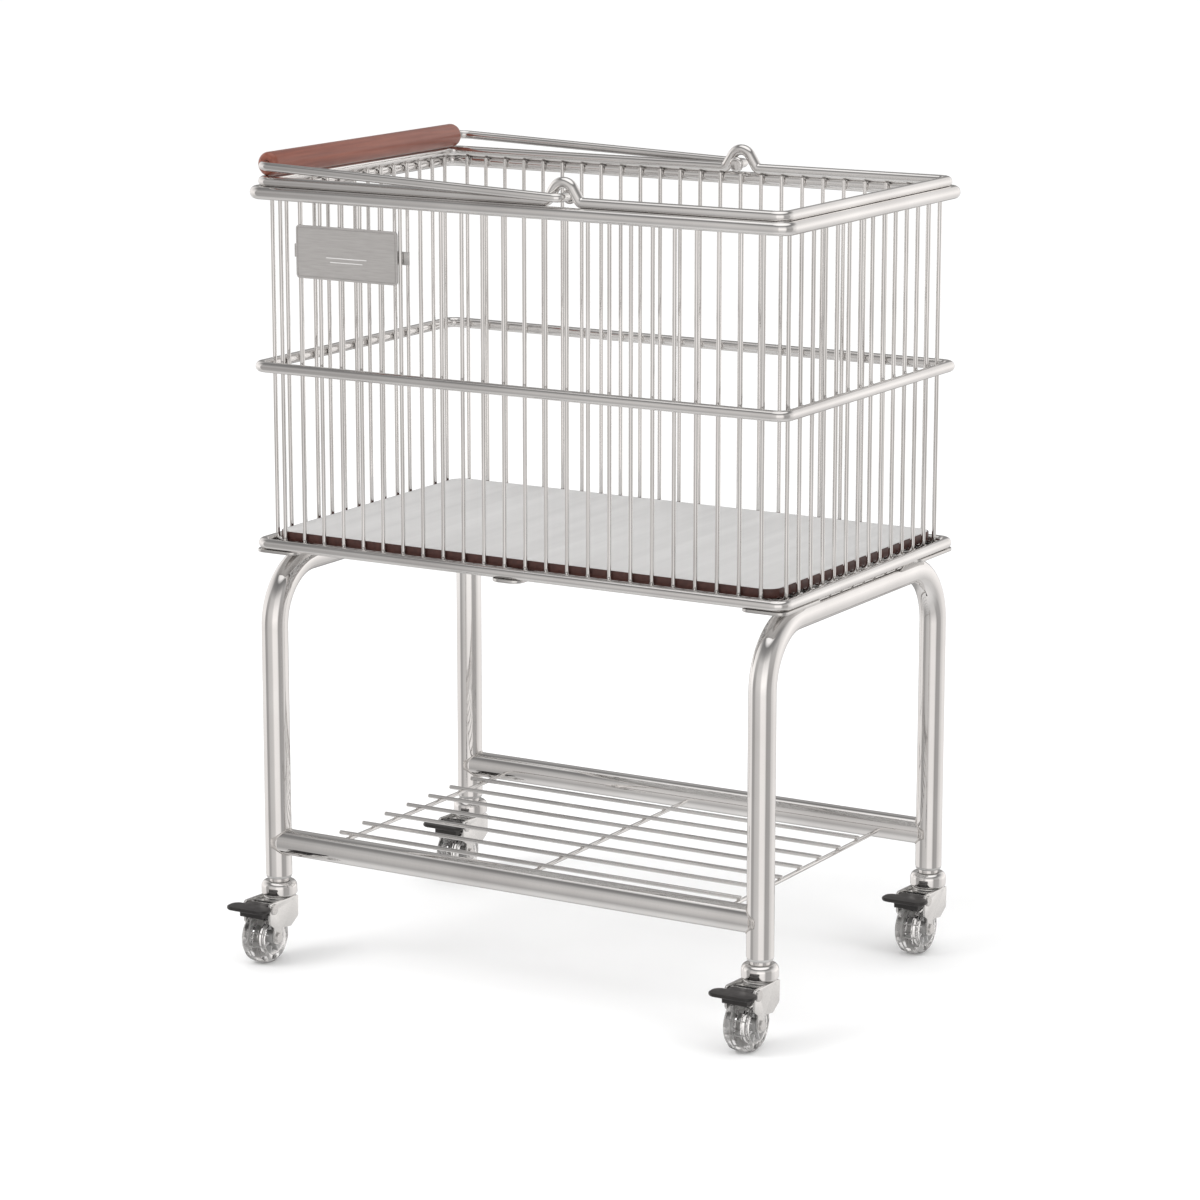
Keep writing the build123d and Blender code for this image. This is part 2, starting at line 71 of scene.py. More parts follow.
class NodeBench:
    """Lays out the shader nodes of one material."""

    def __init__(self, name: str) -> None:
        """Start an empty material with a Principled shader.

        Args:
            name: the material's name.
        """
        self.material = bpy.data.materials.new(f"finish_{name}")
        self.material.use_nodes = True
        self.tree = self.material.node_tree
        self.shader = self.tree.nodes["Principled BSDF"]
        self.place = self.tree.nodes.new("ShaderNodeTexCoord").outputs["Object"]

    def set(self, **values: object) -> None:
        """Set the shader's own sockets.

        Args:
            values: each socket's value, its name written with underscores for spaces.
        """
        for name, value in values.items():
            self.shader.inputs[name.replace("_", " ")].default_value = value

    def link(self, source: bpy.types.NodeSocket, socket: str) -> None:
        """Join an output to one of the shader's inputs.

        Args:
            source: the output.
            socket: the input's name.
        """
        self.tree.links.new(source, self.shader.inputs[socket])

    def mapped(self, scale: tuple[float, float, float]) -> bpy.types.NodeSocket:
        """Stretch the object's coordinates.

        Args:
            scale: the factor along each axis.

        Returns:
            The stretched coordinates.
        """
        node = self.tree.nodes.new("ShaderNodeMapping")
        node.inputs["Scale"].default_value = scale
        self.tree.links.new(self.place, node.inputs["Vector"])
        return node.outputs["Vector"]

    def noise(
        self, scale: float, detail: float = 3.0, stretch: tuple[float, float, float] = (1.0, 1.0, 1.0)
    ) -> bpy.types.NodeSocket:
        """Add a noise pattern.

        Args:
            scale: features per metre, roughly.
            detail: how many finer layers it has.
            stretch: the factor along each axis.

        Returns:
            The pattern's value, from 0 to 1.
        """
        node = self.tree.nodes.new("ShaderNodeTexNoise")
        node.inputs["Scale"].default_value = scale
        node.inputs["Detail"].default_value = detail
        self.tree.links.new(self.mapped(stretch), node.inputs["Vector"])
        return node.outputs["Fac"]

    def spread(self, source: bpy.types.NodeSocket, low: float, high: float) -> bpy.types.NodeSocket:
        """Map a pattern's middle part onto a range.

        Args:
            source: the pattern.
            low: the value given where the pattern is dark.
            high: the value given where it is light.

        Returns:
            The mapped value.
        """
        node = self.tree.nodes.new("ShaderNodeMapRange")
        node.inputs["From Min"].default_value = 0.3
        node.inputs["From Max"].default_value = 0.7
        node.inputs["To Min"].default_value = low
        node.inputs["To Max"].default_value = high
        self.tree.links.new(source, node.inputs["Value"])
        return node.outputs["Result"]

    def tint(
        self,
        source: bpy.types.NodeSocket,
        dark: tuple[float, float, float],
        light: tuple[float, float, float],
        stops: tuple[float, float] = (0.3, 0.7),
    ) -> bpy.types.NodeSocket:
        """Colour a pattern between two tones.

        Args:
            source: the pattern.
            dark: the colour at the low stop.
            light: the colour at the high stop.
            stops: where the two colours stand.

        Returns:
            The colour.
        """
        node = self.tree.nodes.new("ShaderNodeValToRGB")
        ends = node.color_ramp.elements
        ends[0].position, ends[1].position = stops
        ends[0].color = (*dark, 1.0)
        ends[1].color = (*light, 1.0)
        self.tree.links.new(source, node.inputs["Fac"])
        return node.outputs["Color"]

    def bump(self, source: bpy.types.NodeSocket, strength: float, depth: float) -> None:
        """Raise the surface by a pattern.

        Args:
            source: the pattern.
            strength: how strongly it shows.
            depth: its height in metres.
        """
        node = self.tree.nodes.new("ShaderNodeBump")
        node.inputs["Strength"].default_value = strength
        node.inputs["Distance"].default_value = depth
        self.tree.links.new(source, node.inputs["Height"])
        self.link(node.outputs["Normal"], "Normal")


@dataclass(frozen=True)
class Plating:
    """Bright plate over drawn steel."""

    name: str
    dark: tuple[float, float, float] = (0.73, 0.715, 0.705)
    light: tuple[float, float, float] = (0.86, 0.85, 0.84)
    smooth: float = 0.03
    rough: float = 0.09
    grain: tuple[float, float, float] = (1.0, 1.0, 1.0)

    def make(self) -> bpy.types.Material:
        """Lay out the finish.

        Returns:
            The finish as a material.
        """
        bench = NodeBench(self.name)
        bench.set(Metallic=1.0)
        cloud = bench.noise(9.0, 4.0)
        bench.link(bench.tint(cloud, self.dark, self.light), "Base Color")
        bench.link(bench.spread(bench.noise(38.0, 5.0, self.grain), self.smooth, self.rough), "Roughness")
        bench.bump(bench.noise(420.0, 2.0, self.grain), 0.06, 0.0002)
        return bench.material


@dataclass(frozen=True)
class SatinSheet:
    """Brushed sheet metal with its scratches along one axis."""

    name: str
    dark: tuple[float, float, float]
    light: tuple[float, float, float]
    smooth: float = 0.32
    rough: float = 0.48
    grain: tuple[float, float, float] = (0.06, 1.0, 1.0)
    metallic: float = 1.0
    fineness: float = 900.0
    relief: float = 0.12

    def make(self) -> bpy.types.Material:
        """Lay out the finish.

        Returns:
            The finish as a material.
        """
        bench = NodeBench(self.name)
        bench.set(Metallic=self.metallic)
        scratches = bench.noise(self.fineness, 4.0, self.grain)
        bench.link(bench.tint(scratches, self.dark, self.light), "Base Color")
        bench.link(bench.spread(bench.noise(60.0, 4.0), self.smooth, self.rough), "Roughness")
        bench.bump(scratches, self.relief, 0.0001)
        return bench.material


@dataclass(frozen=True)
class LacqueredWood:
    """Stained wood under satin lacquer, its grain along Y."""

    name: str
    dark: tuple[float, float, float]
    light: tuple[float, float, float]
    rough: tuple[float, float] = (0.30, 0.40)
    coat: float = 0.35

    def make(self) -> bpy.types.Material:
        """Lay out the finish.

        Returns:
            The finish as a material.
        """
        bench = NodeBench(self.name)
        bench.set(Coat_Weight=self.coat, Coat_Roughness=0.14)
        grain = bench.noise(240.0, 6.0, (1.0, 0.05, 1.0))
        bench.link(bench.tint(grain, self.dark, self.light), "Base Color")
        bench.link(bench.spread(bench.noise(50.0, 3.0), *self.rough), "Roughness")
        bench.bump(grain, 0.10, 0.0002)
        return bench.material


@dataclass(frozen=True)
class Moulding:
    """Moulded plastic with a fine texture."""

    name: str
    dark: tuple[float, float, float]
    light: tuple[float, float, float]
    rough: tuple[float, float] = (0.35, 0.5)
    texture: float = 0.15

    def make(self) -> bpy.types.Material:
        """Lay out the finish.

        Returns:
            The finish as a material.
        """
        bench = NodeBench(self.name)
        bench.link(bench.tint(bench.noise(30.0, 4.0), self.dark, self.light), "Base Color")
        bench.link(bench.spread(bench.noise(120.0, 3.0), *self.rough), "Roughness")
        bench.bump(bench.noise(1800.0, 2.0), self.texture, 0.0001)
        return bench.material


@dataclass(frozen=True)
class Laminate:
    """Pale laminate with a faint drawn grain across the board."""

    name: str
    dark: tuple[float, float, float] = (0.60, 0.595, 0.59)
    light: tuple[float, float, float] = (0.68, 0.675, 0.67)

    def make(self) -> bpy.types.Material:
        """Lay out the finish.

        Returns:
            The finish as a material.
        """
        bench = NodeBench(self.name)
        bench.set(Coat_Weight=0.08, Coat_Roughness=0.3, Specular_IOR_Level=0.3)
        streaks = bench.noise(60.0, 4.0, (1.0, 0.05, 1.0))
        bench.link(bench.tint(streaks, self.dark, self.light), "Base Color")
        bench.link(bench.spread(bench.noise(25.0, 4.0), 0.36, 0.46), "Roughness")
        bench.bump(streaks, 0.02, 0.0001)
        return bench.material


@dataclass(frozen=True)
class ClearPlastic:
    """Clear cast plastic with a slight haze."""

    name: str
    tone: tuple[float, float, float] = (0.97, 0.97, 0.965)

    def make(self) -> bpy.types.Material:
        """Lay out the finish.

        Returns:
            The finish as a material.
        """
        bench = NodeBench(self.name)
        bench.set(Transmission_Weight=1.0, IOR=1.46)
        haze = bench.noise(260.0, 4.0)
        darker = tuple(0.90 * part for part in self.tone)
        bench.link(bench.tint(haze, darker, self.tone), "Base Color")
        bench.link(bench.spread(haze, 0.02, 0.07), "Roughness")
        bench.bump(bench.noise(240.0, 3.0), 0.35, 0.0006)
        return bench.material


class Finish(Enum):
    """The finishes that the trolley's pieces wear."""

    TUBE = Plating("plated_tube", smooth=0.03, rough=0.08, grain=(1.0, 1.0, 0.2))
    WIRE = Plating("plated_wire", dark=(0.66, 0.65, 0.64), light=(0.84, 0.83, 0.82))
    RING = Plating("plated_ring", smooth=0.04, rough=0.10)
    SHEET = Plating("plated_sheet", (0.55, 0.54, 0.53), (0.70, 0.69, 0.68), smooth=0.14, rough=0.26)
    WELD = Plating("plated_weld", dark=(0.50, 0.48, 0.46), light=(0.74, 0.72, 0.70), smooth=0.16, rough=0.34)
    ZINC = SatinSheet(
        "bright_zinc",
        (0.70, 0.695, 0.685),
        (0.80, 0.795, 0.785),
        smooth=0.16,
        rough=0.28,
        grain=(1.0, 1.0, 0.15),
        fineness=2600.0,
        relief=0.04,
    )
    RIVET = SatinSheet("rivet_metal", (0.56, 0.55, 0.54), (0.72, 0.71, 0.70), 0.2, 0.32)
    STEEL_BALL = Plating("bearing_steel", dark=(0.5, 0.5, 0.5), light=(0.62, 0.62, 0.62))
    NAME_PLATE = SatinSheet(
        "name_plate_sheet",
        (0.34, 0.325, 0.315),
        (0.40, 0.385, 0.375),
        smooth=0.4,
        rough=0.5,
        metallic=0.35,
        relief=0.06,
    )
    PLATE_RULE = SatinSheet("name_plate_rule", (0.60, 0.59, 0.58), (0.70, 0.69, 0.68), 0.4, 0.5, metallic=0.1)
    BOARD = Laminate("board_laminate")
    BOARD_EDGE = LacqueredWood(
        "board_edge_band", (0.040, 0.012, 0.009), (0.066, 0.021, 0.015), (0.4, 0.5), 0.05
    )
    GRIP = LacqueredWood("grip_wood", (0.165, 0.043, 0.026), (0.25, 0.076, 0.046))
    BRAKE = Moulding("brake_plastic", (0.010, 0.009, 0.009), (0.022, 0.019, 0.018), (0.28, 0.42))
    SOCKET = Moulding("socket_plastic", (0.42, 0.41, 0.40), (0.52, 0.51, 0.50))
    HUB = Moulding("hub_plastic", (0.22, 0.215, 0.21), (0.38, 0.375, 0.37), (0.25, 0.4))
    CLEAR = ClearPlastic("clear_tread")
    WEB = Moulding("clear_web", (0.40, 0.395, 0.39), (0.62, 0.615, 0.61), (0.2, 0.35))

    def material(self) -> bpy.types.Material:
        """Make the finish's material, the first time it is asked for.

        Returns:
            The material.
        """
        made = bpy.data.materials.get(f"finish_{self.value.name}")
        return made if made is not None else self.value.make()


def dress(piece: bpy.types.Object, finish: Finish) -> None:
    """Give a piece one finish all over.

    Args:
        piece: the piece to dress.
        finish: what it is dressed in.
    """
    piece.data.materials.clear()
    piece.data.materials.append(finish.material())


# ------------------------------------------------------------------ workshop


def clear_selection() -> None:
    """Leave no object selected."""
    bpy.ops.object.select_all(action="DESELECT")


def pick(*pieces: bpy.types.Object) -> None:
    """Select just these pieces, the first one active.

    Args:
        pieces: the pieces to select.
    """
    clear_selection()
    for piece in pieces:
        piece.select_set(True)
    bpy.context.view_layer.objects.active = pieces[0]


def settle(piece: bpy.types.Object) -> bpy.types.Object:
    """Put the piece's place, turn and scale into its mesh.

    Args:
        piece: the piece to settle.

    Returns:
        The same piece.
    """
    pick(piece)
    bpy.ops.object.transform_apply(location=True, rotation=True, scale=True)
    return piece


def join(name: str, pieces: list[bpy.types.Object]) -> bpy.types.Object:
    """Make one piece of several.

    Args:
        name: the joined piece's name.
        pieces: the pieces, each settled.

    Returns:
        The joined piece.
    """
    pick(*pieces)
    if len(pieces) > 1:
        bpy.ops.object.join()
    pieces[0].name = name
    return pieces[0]


def copies(model: bpy.types.Object, offsets: list[Vector]) -> list[bpy.types.Object]:
    """Copy a settled piece to each offset, each copy with its own mesh.

    Args:
        model: the piece to copy; it is itself left where it is.
        offsets: how far each copy stands from the model.

    Returns:
        The copies.
    """
    made = []
    for offset in offsets:
        twin = model.copy()
        twin.data = model.data.copy()
        twin.data.transform(Matrix.Translation(offset))
        bpy.context.scene.collection.objects.link(twin)
        made.append(twin)
    return made


def modify(piece: bpy.types.Object, kind: str, **settings: object) -> None:
    """Add one modifier and apply it.

    Args:
        piece: the piece to change.
        kind: the modifier's type.
        settings: its settings by name.
    """
    pick(piece)
    modifier = piece.modifiers.new(kind.title(), kind)
    for name, value in settings.items():
        setattr(modifier, name, value)
    bpy.ops.object.modifier_apply(modifier=modifier.name)


def soften(piece: bpy.types.Object, width: float, segments: int = 2, angle: float = 35.0) -> None:
    """Round a piece's sharp edges.

    Args:
        piece: the piece to change.
        width: how far the rounding reaches.
        segments: how many faces each rounding gets.
        angle: the angle in degrees from which an edge is sharp.
    """
    modify(
        piece, "BEVEL", width=width, segments=segments, limit_method="ANGLE", angle_limit=math.radians(angle)
    )


def shade(piece: bpy.types.Object, angle: float = 40.0) -> None:
    """Shade a piece smooth, except at its sharp edges.

    Args:
        piece: the piece to shade.
        angle: the angle in degrees from which an edge is sharp.
    """
    pick(piece)
    bpy.ops.object.shade_smooth_by_angle(angle=math.radians(angle))


def open_on(piece: bpy.types.Object, part: str, wanted: Callable[[object], bool]) -> None:
    """Open a piece for editing with only some of its edges or faces selected.

    Args:
        piece: the piece to open.
        part: EDGE or FACE.
        wanted: says of one edge or face whether it is selected.
    """
    pick(piece)
    bpy.ops.object.mode_set(mode="EDIT")
    bpy.ops.mesh.select_mode(type=part)
    bpy.ops.mesh.select_all(action="DESELECT")
    bpy.ops.object.mode_set(mode="OBJECT")
    for element in piece.data.edges if part == "EDGE" else piece.data.polygons:
        element.select = wanted(element)
    bpy.ops.object.mode_set(mode="EDIT")


def round_corners(piece: bpy.types.Object, axis: int, radius: float, segments: int) -> None:
    """Round the four edges of a block that run along one axis.

    Args:
        piece: the block.
        axis: 0, 1 or 2 for X, Y or Z.
        radius: the corners' radius.
        segments: how many faces each corner gets.
    """

    def runs_along(edge: bpy.types.MeshEdge) -> bool:
        """Say whether an edge follows the axis.

        Args:
            edge: the edge.

        Returns:
            True when it does.
        """
        start, end = (piece.data.vertices[index].co for index in edge.vertices)
        return abs((end - start).normalized()[axis]) > ALIGNED

    open_on(piece, "EDGE", runs_along)
    bpy.ops.mesh.bevel(offset=radius, segments=segments, affect="EDGES")
    bpy.ops.object.mode_set(mode="OBJECT")


def attach(
    piece: bpy.types.Object, finish: Finish, body: str, replaced: tuple[str, ...] = ()
) -> bpy.types.Object:
    """Dress a finished piece and hang it on its body.

    Args:
        piece: the finished piece.
        finish: what it is dressed in.
        body: the body it moves with.
        replaced: the CAD nodes it stands for.

    Returns:
        The piece.
    """
    dress(piece, finish)
    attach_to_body(piece, body)
    if replaced:
        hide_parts(*replaced)
    LOG.info("%s: %d faces", piece.name, len(piece.data.polygons))
    return piece


def cylinder(
    radius: float, start: tuple[float, float, float], end: tuple[float, float, float], sides: int = 32
) -> bpy.types.Object:
    """A settled closed cylinder between two points.

    Args:
        radius: its radius.
        start: the centre of one end.
        end: the centre of the other end.
        sides: how many sides it has.

    Returns:
        The cylinder.
    """
    low, high = Vector(start), Vector(end)
    clear_selection()
    bpy.ops.mesh.primitive_cylinder_add(
        vertices=sides,
        radius=radius,
        depth=(high - low).length,
        location=(low + high) / 2,
        rotation=(high - low).to_track_quat("Z", "Y").to_euler(),
    )
    return settle(bpy.context.object)


def block(low: tuple[float, float, float], high: tuple[float, float, float]) -> bpy.types.Object:
    """Make a settled box between two corners.

    Args:
        low: the lowest corner.
        high: the highest corner.

    Returns:
        The box.
    """
    clear_selection()
    centre = [(a + b) / 2 for a, b in zip(low, high)]
    size = [b - a for a, b in zip(low, high)]
    bpy.ops.mesh.primitive_cube_add(size=1.0, location=centre, scale=size)
    return settle(bpy.context.object)


@dataclass
class Route:
    """A line of straight runs with a round bend at each corner."""

    points: list[Vector]
    radii: list[float]
    closed: bool = False

    def bends(self) -> list[tuple[Vector, Vector, Vector, Vector, float]]:
        """Work out each bend.

        Returns:
            For each corner with a bend: where it starts, where it ends, its centre, its axis and its angle.
        """
        count = len(self.points)
        inner = range(count) if self.closed else range(1, count - 1)
        found = []
        for place, radius in zip(inner, self.radii):
            corner = self.points[place]
            back = (self.points[place - 1] - corner).normalized()
            ahead = (self.points[(place + 1) % count] - corner).normalized()
            turn = math.pi - back.angle(ahead)
            reach = radius * math.tan(turn / 2)
            axis = (-back).cross(ahead).normalized()
            centre = corner + (back + ahead).normalized() * (radius / math.cos(turn / 2))
            found.append((corner + back * reach, corner + ahead * reach, centre, axis, turn))
        return found


@dataclass
class TubeBender:
    """Draws round bar along a route by extruding and spinning its end circle."""

    radius: float
    sides: int = 24
    arc_step: float = 7.5  # degrees for each step of a bend

    def draw(self, name: str, route: Route) -> bpy.types.Object:
        """Bend one bar.

        Args:
            name: the piece's name.
            route: the bar's centre line.

        Returns:
            The bar, settled and shaded.
        """
        bends = route.bends()
        here = (bends[-1][1] + bends[0][0]) / 2 if route.closed else route.points[0]
        ahead = (bends[0][0] if bends else route.points[-1]) - here
        clear_selection()
        bpy.ops.mesh.primitive_circle_add(
            vertices=self.sides,
            radius=self.radius,
            fill_type="NOTHING" if route.closed else "NGON",
            location=here,
            rotation=ahead.to_track_quat("Z", "Y").to_euler(),
        )
        piece = bpy.context.object
        first = here
        bpy.ops.object.mode_set(mode="EDIT")
        bpy.ops.mesh.select_all(action="SELECT")
        for start, end, centre, axis, turn in bends:
            self._run(start - here)
            steps = max(2, round(math.degrees(turn) / self.arc_step))
            bpy.ops.mesh.spin(steps=steps, angle=-turn, center=centre, axis=axis)
            here = end
        self._run((first if route.closed else route.points[-1]) - here)
        bpy.ops.mesh.select_all(action="SELECT")
        bpy.ops.mesh.remove_doubles(threshold=0.00002)
        bpy.ops.mesh.normals_make_consistent(inside=False)
        bpy.ops.object.mode_set(mode="OBJECT")
        settle(piece)
        shade(piece)
        piece.name = name
        return piece

    def _run(self, along: Vector) -> None:
        """Extrude the open end straight on.

        Args:
            along: how far and which way.
        """
        if along.length > 0.00001:
            bpy.ops.mesh.extrude_region_move(TRANSFORM_OT_translate={"value": along})


def smooth_node(
    node: str, name: str, finish: Finish, body: str, edge: float = 0.0, angle: float = 35.0
) -> None:
    """Copy a CAD node, merge its loose triangles, ease its edges and dress it.

    Args:
        node: the CAD node.
        name: the copy's name.
        finish: what it is dressed in.
        body: the body it moves with.
        edge: the width its sharp edges are rounded by, or 0.
        angle: the angle in degrees from which an edge is sharp.
    """
    source = bpy.data.objects[node]
    twin = bpy.data.objects.new(name, source.data.copy())
    bpy.context.scene.collection.objects.link(twin)
    pick(twin)
    bpy.ops.object.mode_set(mode="EDIT")
    bpy.ops.mesh.select_all(action="SELECT")
    bpy.ops.mesh.remove_doubles(threshold=0.000005)
    bpy.ops.mesh.customdata_custom_splitnormals_clear()
    bpy.ops.mesh.dissolve_limited(angle_limit=math.radians(0.6))
    bpy.ops.object.mode_set(mode="OBJECT")
    if edge:
        soften(twin, edge, 2, angle)
    shade(twin, angle)
    attach(twin, finish, body, (node,))


def weld_nuggets(name: str, radius: float, height: float, spots: list[Vector]) -> None:
    """Put a weld nugget on each spot.

    Args:
        name: the name of the piece they make up.
        radius: a nugget's radius.
        height: its height as a share of its width.
        spots: where the nuggets go.
    """
    clear_selection()
    bpy.ops.mesh.primitive_uv_sphere_add(
        segments=10, ring_count=6, radius=radius, scale=(1.0, 1.0, height)
    )
    nugget = settle(bpy.context.object)
    welds = join(name, copies(nugget, spots))
    bpy.data.objects.remove(nugget)
    shade(welds, 80)
    attach(welds, Finish.WELD, ROOT)


# ------------------------------------------------------------------ stand


@dataclass
class Stand:
    """The two leg frames, the rails, the shelf and the plates under the basket."""

    leg_x: float = 0.260
    leg_y: float = 0.170
    tube: float = 0.0125
    bend: float = 0.058
    foot: float = 0.080
    bar_z: float = 0.3784
    rail_z: float = 0.113
    weld: float = 0.0008

    def build(self) -> None:
        """Build and dress every piece of the stand."""
        self.leg_frames()
        self.rails()
        self.rail_welds()
        self.shelf()
        self.plates()

    def leg_frames(self) -> None:
        """Bend the two inverted-U tubes."""
        for side, x in (("left", -self.leg_x), ("right", self.leg_x)):
            route = Route(
                [
                    Vector((x, SHIFT_Y - self.leg_y, self.foot)),
                    Vector((x, SHIFT_Y - self.leg_y, self.bar_z)),
                    Vector((x, SHIFT_Y + self.leg_y, self.bar_z)),
                    Vector((x, SHIFT_Y + self.leg_y, self.foot)),
                ],
                [self.bend, self.bend],
            )
            piece = TubeBender(self.tube, 48, 5.0).draw(f"{side}_leg_tube", route)
            attach(piece, Finish.TUBE, ROOT, (f"{side}_leg_frame",))

    def rails(self) -> None:
        """Set the two low rails between the legs."""
        for side, y in (("front", SHIFT_Y - self.leg_y), ("rear", SHIFT_Y + self.leg_y)):
            reach = self.leg_x - 0.5 * self.tube
            rail = cylinder(self.tube, (-reach, y, self.rail_z), (reach, y, self.rail_z), 48)
            shade(rail)
            rail.name = f"{side}_rail_tube"
            attach(rail, Finish.TUBE, ROOT, (f"{side}_rail",))

    def rail_welds(self) -> None:
        """Lay a weld bead round each end of the rails, along the saddle on the leg."""
        beads = []
        for x in (-self.leg_x, self.leg_x):
            for y in (SHIFT_Y - self.leg_y, SHIFT_Y + self.leg_y):
                clear_selection()
                bpy.ops.mesh.primitive_torus_add(
                    major_radius=self.tube + 0.3 * self.weld,
                    minor_radius=self.weld,
                    major_segments=72,
                    minor_segments=10,
                    rotation=(0.0, math.pi / 2, 0.0),
                )
                bead = settle(bpy.context.object)
                inward = -1.0 if x > 0 else 1.0
                for vertex in bead.data.vertices:
                    across = min(abs(vertex.co.y), self.tube)
                    saddle = math.sqrt(self.tube**2 - across**2)
                    ripple = 0.12 * self.weld * math.sin(36 * math.atan2(vertex.co.z, vertex.co.y))
                    vertex.co.x += x + inward * (saddle + 0.25 * self.weld + ripple)
                    vertex.co.y += y
                    vertex.co.z += self.rail_z
                beads.append(bead)
        welds = join("rail_weld_beads", beads)
        shade(welds, 60)
        attach(welds, Finish.WELD, ROOT)

    def shelf(self) -> None:
        """Lay the shelf's wires."""
        low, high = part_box("shelf_long_wires")
        radius = 0.002
        y, z = low.y + radius, high.z - radius
        first = cylinder(radius, (low.x, y, z), (high.x, y, z), 20)
        soften(first, 0.0015, 3, 60)
        pitch = (high.y - low.y - 2 * radius) / 6
        wires = [first] + copies(first, [Vector((0, pitch * place, 0)) for place in range(1, 7)])
        shelf = join("shelf_long_wire_set", wires)
        shade(shelf)
        attach(shelf, Finish.WIRE, ROOT, ("shelf_long_wires",))
        low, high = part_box("shelf_cross_wires")
        z = (low.z + high.z) / 2
        reach = 0.0015
        first = cylinder(radius, (low.x + radius, low.y - reach, z), (low.x + radius, high.y + reach, z), 20)
        wires = [first] + copies(first, [Vector((step, 0, 0)) for step in (0.211, 0.422)])
        cross = join("shelf_cross_wire_set", wires)
        shade(cross)
        attach(cross, Finish.WIRE, ROOT, ("shelf_cross_wires",))
        rows = [SHIFT_Y + pitch * place for place in range(-3, 4)]
        spots = [Vector((x, y, z + 0.002)) for x in (-0.213, -0.002, 0.209) for y in rows]
        weld_nuggets("shelf_weld_nuggets", 0.0019, 1.0, spots)

    def plates(self) -> None:
        """Dress the sheet pieces and the sockets."""
        for node, name in (("corner_plates", "corner_plate_set"), ("centre_strap", "centre_strap_plate")):
            smooth_node(node, name, Finish.SHEET, ROOT, 0.0006)
        smooth_node("leg_sockets", "leg_socket_set", Finish.SOCKET, ROOT)


# ------------------------------------------------------------------ basket


